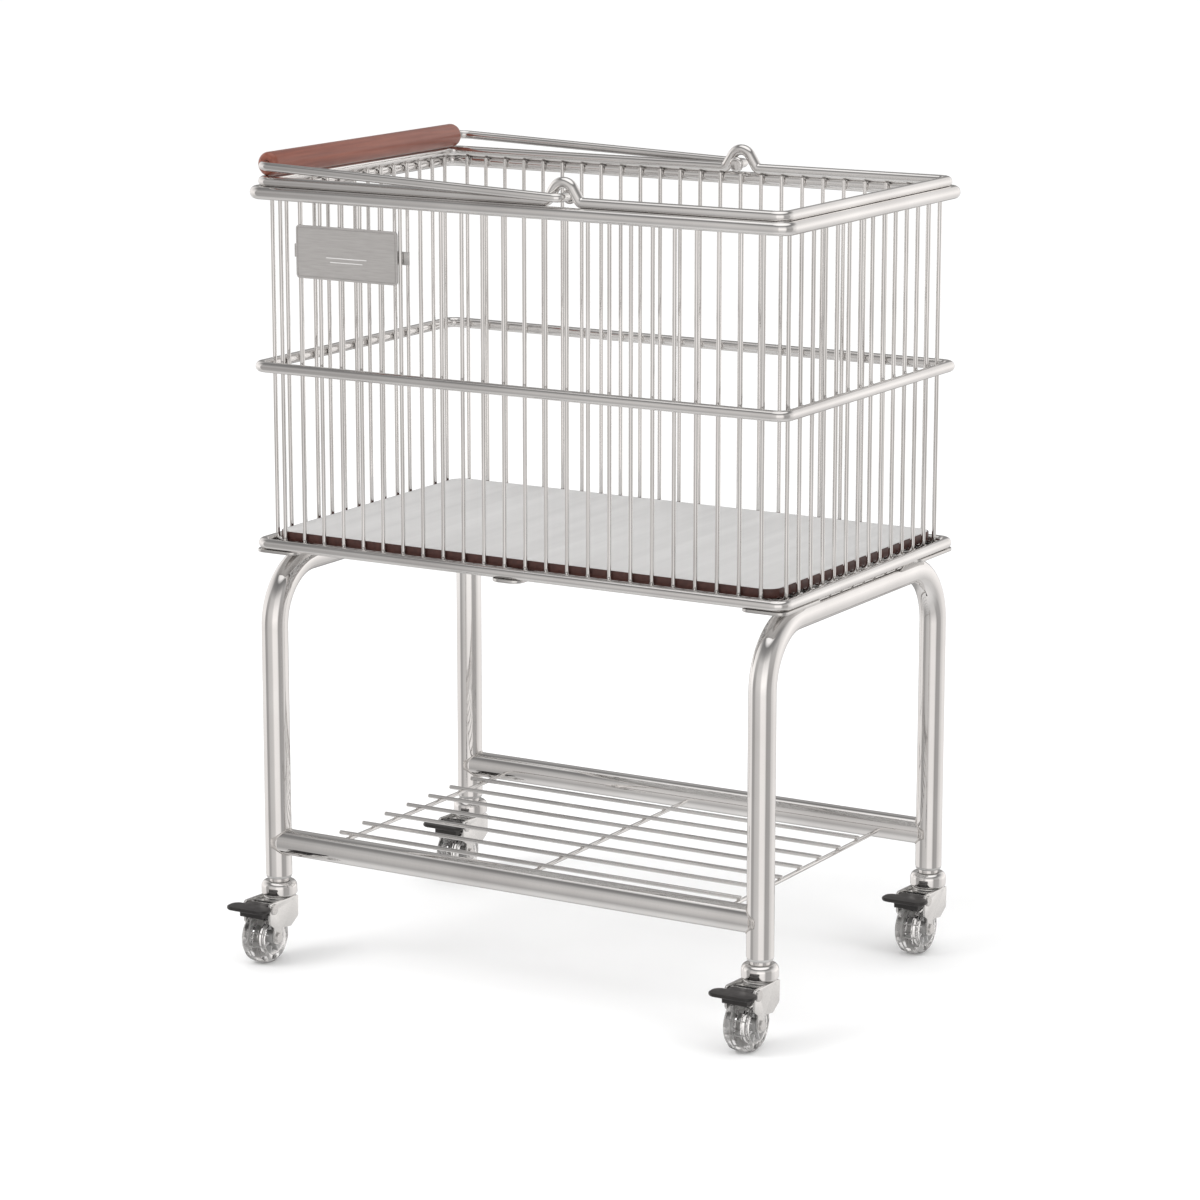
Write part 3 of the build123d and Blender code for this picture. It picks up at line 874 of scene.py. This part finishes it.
@dataclass
class Basket:
    """The wire basket with its rings, floor board and name plate."""

    ring: float = 0.005
    rim: float = 0.006
    wire: float = 0.002
    wall_x: float = 0.27045
    wall_y: float = 0.16045
    lower_z: float = 0.39605
    upper_z: float = 0.4001
    wire_top: float = 0.73325
    wire_bend: float = 0.006
    corner: float = 0.011
    long_wires: int = 24
    short_wires: int = 14
    long_span: float = 0.505
    short_span: float = 0.295
    rim_z: float = 0.7285
    middle_z: float = 0.5665
    bottom_z: float = 0.399
    pivot_x: float = 0.054
    arch_half: float = 0.017
    arch_rise: float = 0.027
    board_corner: float = 0.014

    def build(self) -> None:
        """Build and dress every piece of the basket."""
        self.plain_ring("bottom_ring_bar", "bottom_ring", self.bottom_z, self.ring, 0.2775, 0.1675)
        self.plain_ring("middle_ring_bar", "middle_ring", self.middle_z, self.ring, 0.2775, 0.1675)
        self.plain_ring("rim_ring_bar", "rim_ring", self.rim_z, self.rim, 0.2785, 0.1685)
        self.top_ring()
        self.wires()
        self.ring_welds()
        self.board()
        self.name_plate()

    def plain_ring(self, name: str, node: str, z: float, radius: float, half_x: float, half_y: float) -> None:
        """Bend one closed ring with round corners.

        Args:
            name: the piece's name.
            node: the CAD node it stands for.
            z: the ring's height.
            radius: the bar's radius.
            half_x: half the ring's length at the bar's centre line.
            half_y: half its width.
        """
        points = [
            Vector((sx * half_x, SHIFT_Y + sy * half_y, z)) for sx, sy in ((1, -1), (1, 1), (-1, 1), (-1, -1))
        ]
        piece = TubeBender(radius, 28, 7.5).draw(name, Route(points, [self.corner] * 4, True))
        attach(piece, Finish.RING, ROOT, (node,))

    def top_ring(self) -> None:
        """Bend the top ring with its two arches."""
        half_x, half_y = 0.2735, 0.1635
        low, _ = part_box("top_ring")
        z = low.z + self.ring
        points, radii = [], []
        for side in (1, -1):
            points.append(Vector((side * half_x, SHIFT_Y + side * half_y, z)))
            radii.append(self.corner)
            for step in (side, 0, -side):
                rise = 0.0 if step else self.arch_rise
                x = self.pivot_x + step * self.arch_half
                points.append(Vector((x, SHIFT_Y + side * half_y, z + rise)))
                radii.append(0.006 if step else 0.011)
            points.append(Vector((-side * half_x, SHIFT_Y + side * half_y, z)))
            radii.append(self.corner)
        piece = TubeBender(self.ring, 28, 7.5).draw("top_ring_bar", Route(points, radii, True))
        attach(piece, Finish.RING, ROOT, ("top_ring",))

    def places(self, count: int, span: float) -> list[float]:
        """Space places evenly, centred on zero.

        Args:
            count: how many places.
            span: from the first to the last.

        Returns:
            The places.
        """
        return [span * (place / (count - 1) - 0.5) for place in range(count)]

    def wires(self) -> None:
        """Bend one wire of each kind, up one wall, across the floor and up the other, and copy it."""
        self.wire_set("long", 0, self.wall_y, self.lower_z, self.places(self.long_wires, self.long_span))
        self.wire_set("short", 1, self.wall_x, self.upper_z, self.places(self.short_wires, self.short_span))

    def wire_set(self, side: str, axis: int, reach: float, floor_z: float, places: list[float]) -> None:
        """Bend the wires that stand along one pair of the basket's sides.

        Args:
            side: which pair of sides, long or short.
            axis: the axis that the wires are spaced along, 0 or 1 for X or Y.
            reach: how far from the middle the wires rise.
            floor_z: their height on the floor.
            places: their places along the axis.
        """
        points = []
        for way, z in ((-1, self.wire_top), (-1, floor_z), (1, floor_z), (1, self.wire_top)):
            point = Vector((way * reach, way * reach, z))
            point[axis] = places[0]
            points.append(point + Vector((0, SHIFT_Y, 0)))
        model = TubeBender(self.wire, 16, 15.0).draw(
            f"{side}_side_wire", Route(points, [self.wire_bend] * 2)
        )
        pitch = places[1] - places[0]
        step = Vector((0, pitch, 0)) if axis else Vector((pitch, 0, 0))
        twins = copies(model, [step * place for place in range(1, len(places))])
        piece = join(f"{side}_side_wire_set", [model, *twins])
        walls = (("front", "rear", "cross"), ("left", "right", "long"))[axis]
        spans = (f"{walls[0]}_wall_wires", f"{walls[1]}_wall_wires", f"floor_{walls[2]}_wires")
        attach(piece, Finish.WIRE, ROOT, spans)

    def ring_welds(self) -> None:
        """Put weld nuggets between the upright wires and each ring."""
        heights = {
            "bottom": (self.bottom_z + 0.0031,),
            "middle": (self.middle_z + 0.0029, self.middle_z - 0.0029),
            "rim": (self.rim_z - 0.0036,),
        }
        for ring, levels in heights.items():
            spots = []
            for z in levels:
                for x in self.places(self.long_wires, self.long_span):
                    for side in (-1, 1):
                        spots.append(Vector((x, SHIFT_Y + side * (self.wall_y + self.wire + 0.0003), z)))
                for y in self.places(self.short_wires, self.short_span):
                    for side in (-1, 1):
                        spots.append(Vector((side * (self.wall_x + self.wire + 0.0003), SHIFT_Y + y, z)))
            weld_nuggets(f"{ring}_ring_weld_nuggets", 0.0017, 0.75, spots)

    def board(self) -> None:
        """Shape the floor board and the band round its edge."""
        low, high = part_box("board_edge_band")
        band = block(low, high)
        round_corners(band, 2, self.board_corner, 8)
        soften(band, 0.0006, 2, 60)
        self.open_up(band, low, high)
        shade(band)
        band.name = "board_edge_strip"
        attach(band, Finish.BOARD_EDGE, ROOT, ("board_edge_band",))
        inset = 0.0006
        core = block((low.x + inset, low.y + inset, low.z), (high.x - inset, high.y - inset, high.z))
        round_corners(core, 2, self.board_corner - inset, 8)
        shade(core)
        core.name = "floor_board_panel"
        attach(core, Finish.BOARD, ROOT, ("floor_board",))

    def open_up(self, band: bpy.types.Object, low: Vector, high: Vector) -> None:
        """Leave only a narrow return of the band's top and bottom.

        Args:
            band: the band, still a closed slab.
            low: its lowest corner.
            high: its highest corner.
        """
        for level, way in ((high.z, 1.0), (low.z, -1.0)):
            open_on(
                band,
                "FACE",
                lambda face: face.normal.z * way > ALIGNED and abs(face.center.z - level) < 0.0001,
            )
            bpy.ops.mesh.inset(thickness=0.0005, depth=0.0)
            bpy.ops.mesh.delete(type="FACE")
            bpy.ops.object.mode_set(mode="OBJECT")

    def name_plate(self) -> None:
        """Shape the blank plate, with a groove round its border, and its generic rules."""
        low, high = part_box("name_plate")
        plate = block(low, high)
        round_corners(plate, 1, 0.0035, 6)
        open_on(plate, "FACE", lambda face: face.normal.y < -ALIGNED)
        bpy.ops.mesh.inset(thickness=0.0015, depth=0.0)
        bpy.ops.mesh.inset(thickness=0.0003, depth=-0.0004)
        bpy.ops.mesh.inset(thickness=0.0005, depth=0.0)
        bpy.ops.mesh.inset(thickness=0.0003, depth=0.0004)
        bpy.ops.object.mode_set(mode="OBJECT")
        soften(plate, 0.00025, 2, 60)
        shade(plate)
        plate.name = "name_plate_panel"
        attach(plate, Finish.NAME_PLATE, ROOT, ("name_plate",))
        rules = []
        for height, inset in ((0.42, 0.30), (0.34, 0.34)):
            z = low.z + height * (high.z - low.z)
            start, end = low.x + inset * (high.x - low.x), high.x - inset * (high.x - low.x)
            rule = block((start, low.y - 0.00015, z - 0.0004), (end, low.y + 0.0005, z + 0.0004))
            soften(rule, 0.0001, 1, 60)
            rules.append(rule)
        attach(join("name_plate_rules", rules), Finish.PLATE_RULE, ROOT)
        smooth_node(
            "name_plate_clamps", "name_plate_clamp_set", Finish.SHEET, ROOT, 0.0003
        )


# ------------------------------------------------------------------ bail handle


@dataclass
class Bail:
    """The hinged handle: its wire, end caps and wooden grip."""

    wire: float = 0.004
    pivot_x: float = 0.054
    pivot_z: float = 0.7426
    end_x: float = -0.268
    hook_half: float = 0.1515
    hook_bend: float = 0.0065
    corner_bend: float = 0.012
    grip: float = 0.01125
    grip_half: float = 0.160

    def build(self) -> None:
        """Build and dress the handle."""
        low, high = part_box("handle_grip")
        grip_z = (low.z + high.z) / 2
        self.bent_wire(grip_z)
        smooth_node("bail_end_caps", "bail_cap_pair", Finish.RING, "bail", 0.0004)
        self.turned_grip(grip_z)

    def bent_wire(self, grip_z: float) -> None:
        """Bend the handle's wire through both arches.

        Args:
            grip_z: the height of the bar inside the grip.
        """
        low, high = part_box("bail_wire")
        arm = (high.y - low.y) / 2 - self.wire
        points = [
            Vector((self.pivot_x, SHIFT_Y - self.hook_half, self.pivot_z)),
            Vector((self.pivot_x, SHIFT_Y - arm, self.pivot_z)),
            Vector((self.end_x, SHIFT_Y - arm, grip_z)),
            Vector((self.end_x, SHIFT_Y + arm, grip_z)),
            Vector((self.pivot_x, SHIFT_Y + arm, self.pivot_z)),
            Vector((self.pivot_x, SHIFT_Y + self.hook_half, self.pivot_z)),
        ]
        radii = [self.hook_bend, self.corner_bend, self.corner_bend, self.hook_bend]
        wire = TubeBender(self.wire, 24, 7.5).draw("bail_wire_bar", Route(points, radii))
        attach(wire, Finish.WIRE, "bail", ("bail_wire",))

    def turned_grip(self, grip_z: float) -> None:
        """Turn the grip: a long cylinder with round shoulders and a bore mouth at each end.

        Args:
            grip_z: the height of the grip's axis.
        """
        y0, y1 = SHIFT_Y - self.grip_half, SHIFT_Y + self.grip_half
        grip = cylinder(self.grip, (self.end_x, y0, grip_z), (self.end_x, y1, grip_z), 64)
        open_on(grip, "FACE", lambda face: abs(face.normal.y) > ALIGNED)
        bpy.ops.mesh.inset(thickness=self.grip - self.wire - 0.0003, use_individual=True)
        bpy.ops.mesh.extrude_region_shrink_fatten(TRANSFORM_OT_shrink_fatten={"value": -0.002})
        bpy.ops.object.mode_set(mode="OBJECT")

        def on_shoulder(edge: bpy.types.MeshEdge) -> bool:
            """Say whether an edge goes round the outside of an end face.

            Args:
                edge: the edge.

            Returns:
                True when it does.
            """
            ends = [grip.data.vertices[index].co for index in edge.vertices]
            reach = [math.hypot(end.x - self.end_x, end.z - grip_z) for end in ends]
            return min(reach) > self.grip - 0.0002 and abs(ends[0].y - ends[1].y) < 0.0001

        open_on(grip, "EDGE", on_shoulder)
        bpy.ops.mesh.bevel(offset=0.0055, segments=7, affect="EDGES")
        bpy.ops.object.mode_set(mode="OBJECT")
        shade(grip, 45)
        grip.name = "turned_wood_grip"
        attach(grip, Finish.GRIP, "grip", ("handle_grip",))


# ------------------------------------------------------------------ casters


@dataclass
class Caster:
    """One braked swivel caster, trailing towards the front."""

    corner: str
    x: float
    y: float
    trail: float = 0.025
    wheel: float = 0.025
    hub: float = 0.009
    pin_s: float = 0.031
    pin_z: float = 0.0546
    spokes: int = 8
    pedal_half: float = 0.0126
    wing_depth: float = 0.020
    wing_thickness: float = 0.0034
    wing_corner: float = 0.0085

    def node(self, part: str) -> str:
        """Name the CAD node of one of the caster's parts.

        Args:
            part: the part.

        Returns:
            The node's name.
        """
        return f"{self.corner}_caster_{part}"

    def build(self) -> None:
        """Build and dress every piece of the caster."""
        self.smooth("stem", "stem_dome", Finish.RING, ROOT, "caster_zinc", 0.0, 30)
        swivel, wheel = f"{self.corner}_swivel", f"{self.corner}_wheel"
        self.smooth("fork", "fork_plate", Finish.ZINC, swivel, "caster_zinc", 0.0005, 32)
        self.smooth("axle", "axle_rivet", Finish.RIVET, swivel, "rivet_metal", 0.0, 30)
        self.smooth("brake_pin", "brake_pin_rivet", Finish.RIVET, swivel, "rivet_metal", 0.0, 30)
        self.smooth("wheel", "clear_wheel", Finish.CLEAR, wheel, "clear_tread", 0.0003, 25)
        self.ribs()
        self.smooth("hub", "hub_sleeve", Finish.HUB, wheel, "hub_plastic", 0.0003, 32)
        self.pedal()

    def smooth(
        self, part: str, name: str, finish: Finish, body: str, slot: str, edge: float, angle: float
    ) -> None:
        """Smooth and dress one of the caster's CAD nodes.

        Args:
            part: the part.
            name: the piece's name without the corner.
            finish: what it is dressed in.
            body: the body it moves with.
            slot: not used.
            edge: the width its sharp edges are rounded by, or 0.
            angle: the angle in degrees from which an edge is sharp.
        """
        smooth_node(self.node(part), f"{self.corner}_{name}", finish, body, edge, angle)

    def ribs(self) -> None:
        """Stand the ribs in the dish on both sides of the wheel."""
        axle = Vector((self.x, self.y - self.trail, self.wheel))
        wheel = f"{self.corner}_wheel"
        model = block((-0.0105, -0.0005, self.hub - 0.0004), (0.0105, 0.0005, 0.0157))
        soften(model, 0.0002, 1, 60)
        ribs = []
        for place in range(self.spokes):
            rib = copies(model, [Vector((0, 0, 0))])[0]
            rib.data.transform(Matrix.Rotation(2 * math.pi * (place + 0.5) / self.spokes, 4, "X"))
            rib.data.transform(Matrix.Translation(axle))
            ribs.append(rib)
        bpy.data.objects.remove(model)
        attach(join(f"{wheel}_ribs", ribs), Finish.WEB, wheel)
        rings = []
        for side in (-1, 1):
            clear_selection()
            bpy.ops.mesh.primitive_torus_add(
                major_segments=40,
                minor_segments=10,
                major_radius=0.0148,
                minor_radius=0.0011,
                location=axle + Vector((side * 0.0062, 0, 0)),
                rotation=(0, math.pi / 2, 0),
            )
            rings.append(settle(bpy.context.object))
        rings = join(f"{wheel}_rim_rings", rings)
        shade(rings, 80)
        attach(rings, Finish.WEB, wheel)

    def pedal(self) -> None:
        """Shape the brake pedal: a crowned wing, a shoe hollowed over the wheel, and a barrel."""
        low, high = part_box(self.node("brake_pedal"))
        half = self.pedal_half
        wing_y = low.y + 0.55 * self.wing_depth
        wing = block((low.x, low.y, high.z - self.wing_thickness), (high.x, low.y + self.wing_depth, high.z))
        round_corners(wing, 2, self.wing_corner, 8)
        soften(wing, 0.0014, 4, 60)
        arm = block(
            (self.x - half, wing_y - 0.004, high.z - self.wing_thickness),
            (self.x + half, self.y - self.pin_s, high.z - 0.0004),
        )
        soften(arm, 0.0010, 3, 60)
        shoe = block(
            (self.x - half, self.y - self.pin_s - 0.017, low.z + 0.0001),
            (self.x + half, self.y - self.pin_s, high.z - 0.0016),
        )
        axle = (self.y - self.trail, self.wheel)
        cutter = cylinder(self.wheel + 0.0024, (self.x - 0.03, *axle), (self.x + 0.03, *axle), 96)
        modify(shoe, "BOOLEAN", operation="DIFFERENCE", object=cutter)
        bpy.data.objects.remove(cutter)
        soften(shoe, 0.0008, 2, 40)
        pin = (self.y - self.pin_s, self.pin_z)
        barrel = cylinder(0.0042, (self.x - half, *pin), (self.x + half, *pin), 32)
        soften(barrel, 0.0004, 2, 40)
        pedal = join(f"{self.corner}_pedal_wing", [wing, arm, shoe, barrel])
        shade(pedal, 45)
        attach(pedal, Finish.BRAKE, f"{self.corner}_pedal", (self.node("brake_pedal"),))


# ------------------------------------------------------------------ studio


@dataclass
class Sky:
    """The studio as the bright metal sees it: tall soft panels with dark gaps, over a pale floor."""

    tree: bpy.types.NodeTree
    azimuth: float
    level: tuple[tuple[float, float], ...] = (
        (-90.0, 0.95),
        (-62.0, 0.80),
        (-35.0, 0.52),
        (-12.0, 0.60),
        (12.0, 0.66),
        (30.0, 0.60),
        (44.0, 0.30),
        (54.0, 0.22),
        (62.0, 1.10),
        (90.0, 1.40),
    )
    around: tuple[tuple[float, float], ...] = (
        (-180.0, 1.25),
        (-166.0, 1.25),
        (-156.0, 0.80),
        (-121.0, 0.66),
        (-112.0, 0.40),
        (-93.0, 0.38),
        (-86.0, 1.15),
        (-24.0, 1.12),
        (-13.0, 0.22),
        (13.0, 0.22),
        (24.0, 1.12),
        (74.0, 1.20),
        (84.0, 1.05),
        (104.0, 0.85),
        (112.0, 0.46),
        (147.0, 0.38),
        (156.0, 1.15),
        (166.0, 1.25),
        (180.0, 1.25),
    )

    def maths(self, kind: str, first: object, second: object = None) -> bpy.types.NodeSocket:
        """Add one sum.

        Args:
            kind: the operation.
            first: a number or an output.
            second: a number or an output, if it takes one.

        Returns:
            The result.
        """
        node = self.tree.nodes.new("ShaderNodeMath")
        node.operation = kind
        for socket, value in zip(node.inputs, (first, second)):
            if isinstance(value, bpy.types.NodeSocket):
                self.tree.links.new(value, socket)
            elif value is not None:
                socket.default_value = value
        return node.outputs[0]

    def ramp(
        self, source: bpy.types.NodeSocket, stops: tuple[tuple[float, float], ...], reach: float
    ) -> bpy.types.NodeSocket:
        """Turn an angle in degrees into a brightness.

        Args:
            source: the angle.
            stops: angles with their brightness.
            reach: the angle at either end of the scale.

        Returns:
            The brightness as a colour.
        """
        node = self.tree.nodes.new("ShaderNodeValToRGB")
        elements = node.color_ramp.elements
        elements.remove(elements[1])
        for place, (angle, tone) in enumerate(stops):
            position = (angle + reach) / (2 * reach)
            element = elements[0] if place == 0 else elements.new(position)
            element.position = position
            element.color = (tone, 0.984 * tone, 0.974 * tone, 1.0)
        scaled = self.maths("ADD", self.maths("DIVIDE", source, 2 * reach), 0.5)
        self.tree.links.new(scaled, node.inputs["Fac"])
        return node.outputs["Color"]

    def mix(self, factor: object, first: object, second: object, blend: str = "MIX") -> bpy.types.NodeSocket:
        """Blend two colours.

        Args:
            factor: how much of the second colour shows.
            first: a colour or an output.
            second: a colour or an output.
            blend: the kind of blend.

        Returns:
            The blended colour.
        """
        node = self.tree.nodes.new("ShaderNodeMixRGB")
        node.blend_type = blend
        for socket, value in zip(node.inputs, (factor, first, second)):
            if isinstance(value, bpy.types.NodeSocket):
                self.tree.links.new(value, socket)
            else:
                socket.default_value = value
        return node.outputs["Color"]

    def build(self) -> None:
        """Wire up the sky: soft panels for reflections and an even white for everything else."""
        split = self.tree.nodes.new("ShaderNodeSeparateXYZ")
        place = self.tree.nodes.new("ShaderNodeTexCoord")
        self.tree.links.new(place.outputs["Generated"], split.inputs["Vector"])
        x, y, z = split.outputs
        lift = self.maths("MULTIPLY", self.maths("ARCSINE", z), 180.0 / math.pi)
        ahead = math.radians(self.azimuth)
        forward = self.maths(
            "ADD", self.maths("MULTIPLY", x, -math.sin(ahead)), self.maths("MULTIPLY", y, math.cos(ahead))
        )
        across = self.maths(
            "ADD", self.maths("MULTIPLY", x, math.cos(ahead)), self.maths("MULTIPLY", y, math.sin(ahead))
        )
        turn = self.maths("MULTIPLY", self.maths("ARCTAN2", across, forward), 180.0 / math.pi)
        near_level = self.maths("SUBTRACT", 1.0, self.maths("DIVIDE", self.maths("ABSOLUTE", lift), 55.0))
        strips = self.mix(
            self.maths("MAXIMUM", near_level, 0.0),
            (1.0, 1.0, 1.0, 1.0),
            self.mix(1.0, self.ramp(turn, self.around, 180.0), (1.6, 1.6, 1.6, 1.0), "MULTIPLY"),
        )
        panels = self.mix(1.0, self.ramp(lift, self.level, 90.0), strips, "MULTIPLY")
        seen = self.tree.nodes.new("ShaderNodeLightPath")
        mirrored = self.maths("MAXIMUM", seen.outputs["Is Glossy Ray"], seen.outputs["Is Transmission Ray"])
        shown = self.mix(mirrored, (1.10, 1.10, 1.10, 1.0), panels)
        background = self.tree.nodes["Background"]
        self.tree.links.new(shown, background.inputs["Color"])
        background.inputs["Strength"].default_value = 1.0


@dataclass
class Studio:
    """Camera, floor and soft light."""

    azimuth: float = 30.55
    elevation: float = 12.26
    lens: float = 120.12
    distance: float = 3.77238
    target: tuple[float, float] = (-0.00472, 0.34345)  # across to the camera's right, and up

    def build(self) -> None:
        """Set up the studio."""
        self.camera()
        self.floor()
        self.light()
        bpy.context.scene.view_settings.view_transform = "Standard"

    def camera(self) -> None:
        """Aim the camera."""
        turn, lift = math.radians(self.azimuth), math.radians(self.elevation)
        back = Vector(
            (math.sin(turn) * math.cos(lift), -math.cos(turn) * math.cos(lift), math.sin(lift))
        )
        right = Vector((math.cos(turn), math.sin(turn), 0.0))
        data = bpy.data.cameras.new("studio_camera")
        data.lens = self.lens
        data.sensor_width = 36.0
        data.clip_end = 100.0
        camera = bpy.data.objects.new("studio_camera", data)
        bpy.context.scene.collection.objects.link(camera)
        middle = right * self.target[0] + Vector((0.0, SHIFT_Y, self.target[1]))
        camera.location = middle + back * self.distance
        camera.rotation_euler = back.to_track_quat("Z", "Y").to_euler()
        bpy.context.scene.camera = camera

    def floor(self) -> None:
        """Lay the pale floor."""
        clear_selection()
        bpy.ops.mesh.primitive_plane_add(size=80.0, location=(0, 0, -0.0001))
        floor = bpy.context.object
        floor.name = "studio_floor"
        bench = NodeBench("studio_floor_paint")
        bench.link(bench.tint(bench.noise(3.0, 2.0), (0.93, 0.93, 0.93), (0.95, 0.95, 0.95)), "Base Color")
        bench.set(Roughness=0.9, Specular_IOR_Level=0.1)
        floor.data.materials.append(bench.material)
        floor.visible_glossy = False
        floor.visible_transmission = False

    def light(self) -> None:
        """Hang the studio's sky and two large soft lights."""
        world = bpy.data.worlds.new("studio_sky")
        bpy.context.scene.world = world
        world.use_nodes = True
        Sky(world.node_tree, self.azimuth).build()
        self.soft_light("key_softbox", (-2.2, -2.6, 3.0), 2.0, 60.0)
        self.soft_light("fill_softbox", (3.2, -0.6, 2.2), 1.6, 24.0)

    def soft_light(self, name: str, place: tuple[float, float, float], size: float, power: float) -> None:
        """Hang one square soft light that faces the trolley.

        Args:
            name: the light's name.
            place: where it hangs.
            size: the length of its side.
            power: its power in watts.
        """
        data = bpy.data.lights.new(name, "AREA")
        data.size = size
        data.energy = power
        light = bpy.data.objects.new(name, data)
        bpy.context.scene.collection.objects.link(light)
        light.location = place
        light.visible_glossy = False
        light.rotation_euler = (Vector(place) - Vector((0, 0, 0.4))).to_track_quat("Z", "Y").to_euler()


# ------------------------------------------------------------------ whole


def dress_remaining() -> None:
    """Give every CAD node that still shows its own finish."""
    finishes = {
        "name_plate_rivets": Finish.RIVET,
        "swivel_bearing_balls": Finish.STEEL_BALL,
    }
    for name, finish in finishes.items():
        dress(bpy.data.objects[name], finish)


def main() -> None:
    """Build the trolley around its frame and set up the studio."""
    logging.basicConfig(level=logging.INFO, format="%(name)s: %(message)s")
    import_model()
    Studio().build()
    Stand().build()
    Basket().build()
    Bail().build()
    for corner, (x, y) in CORNERS.items():
        Caster(corner, x, y).build()
    dress_remaining()
    clear_selection()


if __name__ == "__main__":
    main()
